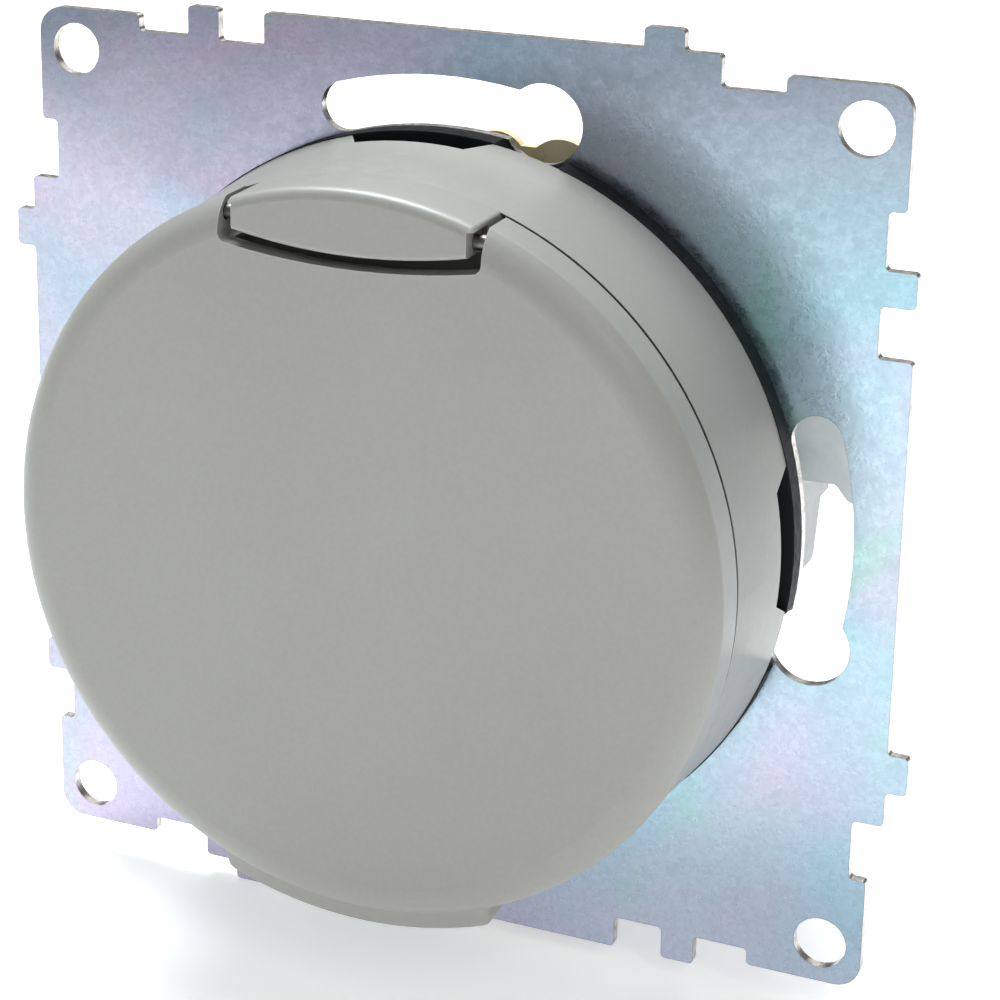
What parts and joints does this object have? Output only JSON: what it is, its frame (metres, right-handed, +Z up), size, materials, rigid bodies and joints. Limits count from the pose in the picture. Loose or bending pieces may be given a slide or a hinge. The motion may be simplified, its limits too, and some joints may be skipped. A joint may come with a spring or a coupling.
{
  "type": "socket outlet with hinged lid",
  "caption": "Flush-mounted type F socket outlet with a round sprung lid, on a square zinc-plated mounting plate with keyhole slots and expansion claws.",
  "frame": {"origin": "centre of the square mounting plate, on its back face, which is the wall plane", "axes": "+Z up, +X right as seen from the front, the front faces -Y and the mechanism reaches into the wall box along +Y"},
  "size_m": [0.0738, 0.0461, 0.0738],
  "materials": {
    "plate_zinc": "clear-passivated zinc plating, satin with faint iridescence",
    "grey_plastic": "warm grey, fine matte moulded texture",
    "black_plastic": "black, satin moulded",
    "spring_steel": "drawn spring wire",
    "steel_screw": "zinc-plated steel",
    "brass": "rolled brass sheet",
    "claw_steel": "zinc-plated pressed sheet"
  },
  "bodies": {
    "frame": {"mounting_plate": "plate_zinc", "base_housing": "black_plastic", "terminal_block": "black_plastic", "rear_cover": "black_plastic", "front_cover": "grey_plastic", "hinge_pin": "spring_steel", "lid_spring": "spring_steel", "cover_screw": "steel_screw", "earth_strap": "brass", "contact_line": "brass", "contact_neutral": "brass", "terminal_cage_line": "brass", "terminal_cage_neutral": "brass", "terminal_cage_earth": "brass", "terminal_screws": "steel_screw"},
    "lid": {"lid": "grey_plastic"},
    "claw_right": {"claw_right": "claw_steel"},
    "claw_left": {"claw_left": "claw_steel"},
    "claw_screw_right": {"claw_screw_right": "steel_screw"},
    "claw_screw_left": {"claw_screw_left": "steel_screw"}
  },
  "joints": [
    {"name": "lid_hinge", "type": "hinge", "parent": "frame", "child": "lid", "pos_m": [0, -0.0164, 0.0244], "axis": [-1, 0, 0], "range_deg": [0, 95], "stiffness_Nm_per_rad": 0.004, "springref_deg": -45.84, "deforming": ["lid_spring"]},
    {"name": "claw_screw_right_turn", "type": "hinge", "parent": "frame", "child": "claw_screw_right", "pos_m": [0.0204, 0, 0.0135], "axis": [0, 1, 0], "range_deg": [0, 540]},
    {"name": "claw_screw_left_turn", "type": "hinge", "parent": "frame", "child": "claw_screw_left", "pos_m": [-0.0204, 0, -0.0135], "axis": [0, 1, 0], "range_deg": [0, 540]},
    {"name": "claw_right_spread", "type": "hinge", "parent": "frame", "child": "claw_right", "pos_m": [0.0228, 0.021, 0], "axis": [0, 0, 1], "range_deg": [0, 18]},
    {"name": "claw_left_spread", "type": "hinge", "parent": "frame", "child": "claw_left", "pos_m": [-0.0228, 0.021, 0], "axis": [0, 0, -1], "range_deg": [0, 18]}
  ],
  "couplings": [
    {"joint": "claw_right_spread", "follows": "claw_screw_right_turn", "ratio": 0.033333},
    {"joint": "claw_left_spread", "follows": "claw_screw_left_turn", "ratio": 0.033333}
  ]
}
